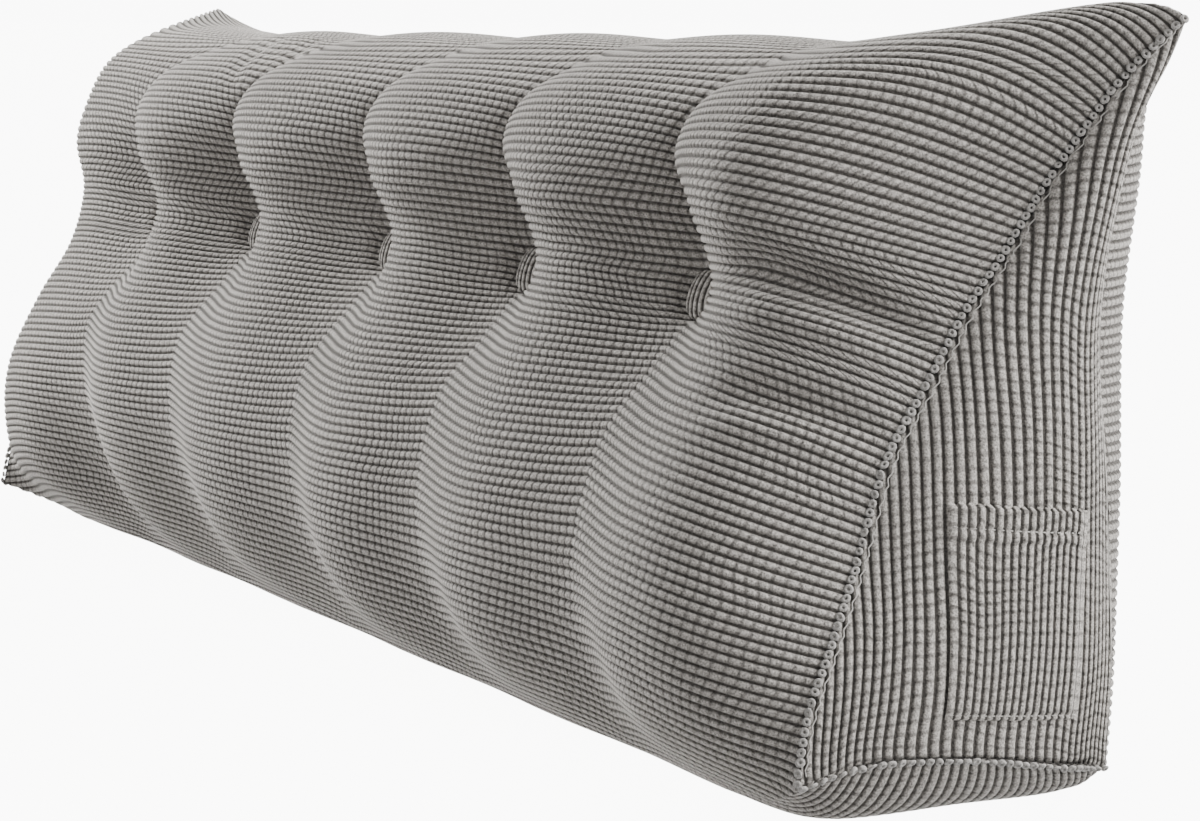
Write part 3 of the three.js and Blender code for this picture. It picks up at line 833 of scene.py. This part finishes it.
def button_profile():
    """Radius and height of each ring, from the back over the rim to the top of the dome"""
    rings = [(0.5, 0.0), (0.92, 0.0), (0.985, 0.12), (1.0, 0.35), (1.0, 0.7), (0.995, 1.0)]
    rings = [(r * BUTTON_RADIUS, h * BUTTON_RIM) for r, h in rings]
    for k in range(1, DOME_RINGS):
        r = 0.99 * (1 - k / DOME_RINGS)
        rings.append((r * BUTTON_RADIUS, BUTTON_RIM + BUTTON_DOME * math.sqrt(1 - r * r)))
    return np.array(rings)


def covered_button(number, place, looks, cloth):
    rings = button_profile()
    angle = np.arange(BUTTON_AROUND) / BUTTON_AROUND * 2 * math.pi
    p = rings[:, :1] * np.cos(angle)
    q = rings[:, :1] * np.sin(angle)
    height = np.broadcast_to(rings[:, 1:], p.shape)
    ribs = 0.5 + (p - BUTTON_RIB_BEND * q * q) / BUTTON_RIB
    local = np.stack([p, q, height], -1)
    normals = surface_normals(local, True)
    normals *= np.sign(np.sum(normals * np.stack([p, q, height * 0], -1)))
    crest = 1 - np.abs(2 * (ribs % 1) - 1) ** BUTTON_CREST
    plain, plain_rise = BUTTON_PLAIN
    raised = np.where(height > plain * BUTTON_RIM, crest - BUTTON_SINK_SHARE, plain_rise) * BUTTON_RELIEF
    local = local + normals * raised[..., None]
    top = BUTTON_RIM + BUTTON_DOME + (1 - BUTTON_SINK_SHARE) * BUTTON_RELIEF
    points = np.concatenate([local.reshape(-1, 3), ((0, 0, 0), (0, 0, top))])
    points = place + points @ np.stack([(1, 0, 0), np.cross(looks, (1, 0, 0)), looks])
    points[:, 1] += DEPTH_SHIFT
    first_rib = FIRST_BUTTON_RIB + RIBS_TO_A_BUTTON * number
    plane = np.stack([q, ribs + first_rib], -1).reshape(-1, 2)
    plane = np.concatenate([plane, ((0, first_rib + 0.5),) * 2])
    quads = grid_quads(*p.shape, closed=True)[:, ::-1]
    first = np.arange(BUTTON_AROUND)
    after = (first + 1) % BUTTON_AROUND
    last = (len(rings) - 1) * BUTTON_AROUND
    back = np.stack([after, first, np.full(BUTTON_AROUND, len(points) - 2)], -1)
    front = np.stack([last + first, last + after, np.full(BUTTON_AROUND, len(points) - 1)], -1)
    triangles = np.concatenate([back, front])
    piece = cloth_mesh(f"covered_button_{number}", points, quads, plane[quads], triangles, plane[triangles])
    piece.data.materials.append(cloth)
    return piece


places, looks = button_places()
for k, place in enumerate(places):
    button = covered_button(k + 1, place, looks, cover_cloth)
    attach(button, "root")
    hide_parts(f"tuft_button_{k + 1}")


# The patch pocket on the right end panel: one piece of the same corduroy, turned in at both sides, with
# a hem along its open top edge, and sewn down along the sides and the bottom.
POCKET_WIDTH, POCKET_HEIGHT = 104 * MM, 131 * MM
POCKET_Y, POCKET_Z = 30 * MM, 128 * MM  # the place of its middle on the panel
POCKET_LEAN = 0.11  # radians that it leans with the panel's ribs
POCKET_RIBS = 16
POCKET_BAND = 5 * MM  # the plain turned-in cloth at each side
POCKET_BACK = 1.2 * MM  # above the smooth panel, on the crests of its ribs
POCKET_CLOTH = 1.3 * MM
POCKET_RELIEF = 1.9 * MM  # from a groove to a crest of its ribs
POCKET_SINK = 0.25  # the share of it that lies below the cloth
POCKET_THINNEST, POCKET_RIM = 0.4 * MM, 0.15 * MM  # its least thickness, and that of its very edge
POCKET_SCALLOP = 2.2 * MM  # how far its ribs stand up past the grooves on the open edge
POCKET_HEM = (22 * MM, 1.3 * MM, 2 * MM)  # depth, how much thicker, and over how far it thins out
POCKET_EDGE = 2.2 * MM  # how broadly it is rounded off at its edges
POCKET_STEPS = 90  # points along each rib
FIRST_POCKET_RIB = 401  # past the buttons' in the pattern of cells
BAND_POINTS = (0, 0.1, 0.3, 0.55, 0.8)  # across the band, as shares of its width
BAND_HEIGHT = 0.45  # for 1 on a crest
HEM_STITCHES = 14 * MM  # below the top edge
EDGE_STITCHES = 3.2 * MM
STITCH_PULL = 0.9 * MM  # how deep a row of stitches draws the cloth in, and how widely to either side
STITCH_REACH = 1.3 * MM
FOOT_PULL, SIDE_PULL = 0.8, 0.5  # the share of it at the bottom and at the sides
STITCH_FLATTENS = 0.5  # the share of the ribs' relief that it takes away
SETTLED = (6 * MM, 0.8 * MM)  # how high up the bottom edge is pressed into the panel, and how deep


def panel_at(y, z):
    """Points of the right end panel at a given depth and height, found by closing in on them"""
    deep = profile["seam_y"][0] - profile["seam_y"][front_foot]
    tall = profile["seam_z"][ridge] - profile["seam_z"][0]
    a, h = np.full(y.shape, 0.5), np.full(y.shape, 0.3)
    for _ in range(40):
        miss = smooth_panel(a, h)
        a = np.clip(a + (y - miss[..., 1]) / deep, 0, 1)
        h = np.clip(h + (z - miss[..., 2]) / tall, 0, 1)
    return smooth_panel(a, h)


def pocket_point(right, rise, lift):
    """Points above the panel, by their distance right of the pocket's middle and up from it"""
    cos, sin = math.cos(POCKET_LEAN), math.sin(POCKET_LEAN)
    points = panel_at(POCKET_Y + right * cos + rise * sin, POCKET_Z + rise * cos - right * sin)
    points[..., 0] += lift
    points[..., 1] += DEPTH_SHIFT
    return points


def pocket_cloth():
    half_w, half_h = POCKET_WIDTH / 2, POCKET_HEIGHT / 2
    rib = (POCKET_WIDTH - 2 * POCKET_BAND) / POCKET_RIBS
    number = row_numbers(POCKET_RIBS)
    band = np.array(BAND_POINTS) * POCKET_BAND
    right = np.r_[-half_w + band, -half_w + POCKET_BAND + number * rib, half_w - band[::-1]]
    flat_band = np.full(len(band), BAND_HEIGHT)
    crest = np.r_[flat_band, np.tile(ROW_RISES, POCKET_RIBS), flat_band][:, None]
    rib_number = np.r_[[-0.5] * len(band), number, [POCKET_RIBS + 0.5] * len(band)] + FIRST_POCKET_RIB
    right, rise = np.meshgrid(right, np.linspace(-half_h, half_h, POCKET_STEPS), indexing="ij")
    top_share = np.clip((rise / half_h - 0.9) * 10, 0, 1)  # over the last tenth
    reach = rise + top_share * (crest - 0.5) * POCKET_SCALLOP
    below_top, above_foot, from_side = half_h - rise, rise + half_h, half_w - np.abs(right)
    depth, extra, thinning = POCKET_HEM
    hem = extra * np.clip((depth - below_top) / thinning, 0, 1)
    sewn = np.exp(-(((below_top - HEM_STITCHES) / STITCH_REACH) ** 2))
    sewn += FOOT_PULL * np.exp(-(((above_foot - EDGE_STITCHES) / STITCH_REACH) ** 2))
    sewn = np.maximum(sewn, SIDE_PULL * np.exp(-(((from_side - EDGE_STITCHES) / MM) ** 2)))
    lift = POCKET_CLOTH + hem - STITCH_PULL * sewn
    lift += POCKET_RELIEF * (crest - POCKET_SINK) * (1 - STITCH_FLATTENS * sewn)
    edge = np.minimum(np.minimum(below_top, above_foot), from_side) / POCKET_EDGE
    lift = np.maximum(lift, POCKET_THINNEST) * np.sqrt(1 - (1 - np.clip(edge, 0, 1)) ** 2)
    settled = POCKET_BACK - SETTLED[1] * np.clip(1 - above_foot / SETTLED[0], 0, 1)
    outer = pocket_point(right, reach, settled + lift + POCKET_RIM)
    inner = pocket_point(right, reach, settled)
    columns, rows = right.shape
    points = np.concatenate([outer.reshape(-1, 3), inner.reshape(-1, 3)])
    face = grid_quads(columns, rows)
    number = np.arange(columns * rows).reshape(columns, rows)
    rim = np.r_[number[:, 0], number[-1, 1:], number[-2::-1, -1], number[0, -2:0:-1]]
    after = np.roll(rim, -1)
    walls = np.stack([rim, after, after + columns * rows, rim + columns * rows], -1)
    quads = np.concatenate([face, face[:, ::-1] + columns * rows, walls[:, ::-1]])
    plane = np.stack([rise, np.broadcast_to(rib_number[:, None], rise.shape)], -1).reshape(-1, 2)
    plane = np.concatenate([plane, plane])
    return cloth_mesh("side_pocket_cloth", points, quads, plane[quads])


pocket = pocket_cloth()
pocket.data.materials.append(cover_cloth)
STITCH_LENGTH, STITCH_THICKNESS = 3.4 * MM, 0.9 * MM
STITCH_PITCH = (POCKET_WIDTH - 2 * POCKET_BAND) / POCKET_RIBS  # one stitch over each rib

stitch_tree, stitch_sizes = new_tree("pocket_stitches", ("Stitch pitch", "Stitch length", "Thread thickness"))
line = add_node(stitch_tree, "GeometryNodeMeshToCurve", {0: stitch_sizes["Geometry"]})
spots = add_node(
    stitch_tree, "GeometryNodeResampleCurve", {"Curve": line, "Length": stitch_sizes["Stitch pitch"]},
    mode="LENGTH",
)
stitch = add_node(stitch_tree, "GeometryNodeMeshUVSphere", {"Segments": 8, "Rings": 5, "Radius": 0.5})
scale = add_node(
    stitch_tree, "ShaderNodeCombineXYZ",
    {
        "X": stitch_sizes["Stitch length"], "Y": stitch_sizes["Thread thickness"],
        "Z": stitch_sizes["Thread thickness"],
    },
)
way = add_node(stitch_tree, "GeometryNodeInputTangent")
turn = add_node(stitch_tree, "FunctionNodeAlignRotationToVector", {"Vector": way}, axis="X")
stitches = add_node(
    stitch_tree, "GeometryNodeInstanceOnPoints",
    {"Points": spots, "Instance": stitch, "Rotation": turn, "Scale": scale},
)
end_tree(stitch_tree, stitches, sewing_thread)
half_w, half_h = POCKET_WIDTH / 2, POCKET_HEIGHT / 2
side_x, foot_z = half_w - EDGE_STITCHES, EDGE_STITCHES - half_h
hem_z, top_z = half_h - HEM_STITCHES, half_h - 2 * MM
# The ends of each row of stitches, how many points lead from one to the other, and their height
stitch_rows = (
    ((-side_x, hem_z), (side_x, hem_z), 40, POCKET_CLOTH + POCKET_HEM[1]),
    ((-side_x, top_z), (-side_x, foot_z), 50, POCKET_CLOTH - 0.4 * MM),
    ((-side_x, foot_z), (side_x, foot_z), 40, 0.9 * MM),
    ((side_x, foot_z), (side_x, top_z), 50, POCKET_CLOTH - 0.4 * MM),
)
stitch_paths = [
    pocket_point(*np.linspace(start, end, count).T, POCKET_BACK + rise)
    for start, end, count, rise in stitch_rows
]
pocket_stitches = grow(
    "pocket_stitches", *joined(stitch_paths), stitch_tree,
    {"Stitch pitch": STITCH_PITCH, "Stitch length": STITCH_LENGTH, "Thread thickness": STITCH_THICKNESS},
)
for piece in (pocket, pocket_stitches):
    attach(piece, "root")
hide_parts("side_pocket")


# The studio: a plain pale floor, two broad lights from behind and beside the right end and one from the
# left, and the camera. The floor has a light of its own, so the cushion stands on white.
FLOOR = 400  # metres from the middle to an edge, so that it reaches the horizon
floor_mesh = bpy.data.meshes.new("floor")
floor_corners = [(x * FLOOR, y * FLOOR, 0) for x, y in ((-1, -1), (1, -1), (1, 1), (-1, 1))]
floor_mesh.from_pydata(floor_corners, [], [(0, 1, 2, 3)])
floor = new_object("floor", floor_mesh)
paint, paint_tree = new_material("pale_matt_paint")
end_material(paint_tree, {"Base Color": srgb("#f6f6f5"), "Roughness": 0.9})
floor_mesh.materials.append(paint)
floor.visible_diffuse = False

AIR_LIGHT = 0.82
AIR_GLOW = 9.0  # how much brighter the air is to the camera
world = bpy.data.worlds.new("studio_air")
bpy.context.scene.world = world
world.use_nodes = True
air_tree = world.node_tree
air = air_tree.nodes["Background"]
air.inputs["Color"].default_value = (1, 1, 1, 1)
seen = add_node(air_tree, "ShaderNodeLightPath").outputs["Is Camera Ray"]
glow = add_node(air_tree, "ShaderNodeMath", {0: seen, 1: AIR_GLOW, 2: AIR_LIGHT}, operation="MULTIPLY_ADD")
air_tree.links.new(glow.outputs[0], air.inputs["Strength"])

floor_alone = bpy.data.collections.new("floor_alone")
floor_alone.objects.link(floor)
all_but_floor = bpy.data.collections.new("all_but_floor")
all_but_floor.objects.link(floor)
all_but_floor.collection_objects[0].light_linking.link_state = "EXCLUDE"

SOFT_BOX_WIDTH = 1.2
SOFT_BOX_AIM = Vector((0, 0, 0.2))
SOFT_BOXES = (  # places, and power in watts
    ("rear_right", (2.2, 2.6, 2.2), 265),
    ("right", (3.1, 1.5, 1.6), 120),
    ("left", (-2.0, -1.1, 1.5), 185),
)
for name, place, power in SOFT_BOXES:
    soft_box = bpy.data.lights.new(name, "AREA")
    soft_box.shape = "SQUARE"
    soft_box.size = SOFT_BOX_WIDTH
    soft_box.energy = power
    light = new_object(name, soft_box)
    light.location = place
    light.rotation_mode = "QUATERNION"
    light.rotation_quaternion = (SOFT_BOX_AIM - Vector(place)).to_track_quat("-Z", "Y")
    light.light_linking.receiver_collection = all_but_floor
FLOOR_LIGHT = 34
wash = bpy.data.lights.new("floor_wash", "SUN")
wash.energy = FLOOR_LIGHT
wash_light = new_object("floor_wash", wash)
wash_light.light_linking.receiver_collection = floor_alone
wash_light.light_linking.blocker_collection = floor_alone

CAMERA_PLACE = (2.3789, -1.156, 0.4934)
CAMERA_DOWN = 6.83  # degrees below the horizon
CAMERA_HEADING = 61.32  # degrees left of +Y
FOCAL_PIXELS = 3268.83
FRAME_PIXELS = 1200
camera_data = bpy.data.cameras.new("camera")
camera_data.sensor_width = 36
camera_data.lens = FOCAL_PIXELS * camera_data.sensor_width / FRAME_PIXELS
camera = new_object("camera", camera_data)
camera.location = CAMERA_PLACE
camera.rotation_euler = (math.radians(90 - CAMERA_DOWN), 0, math.radians(CAMERA_HEADING))
bpy.context.scene.camera = camera
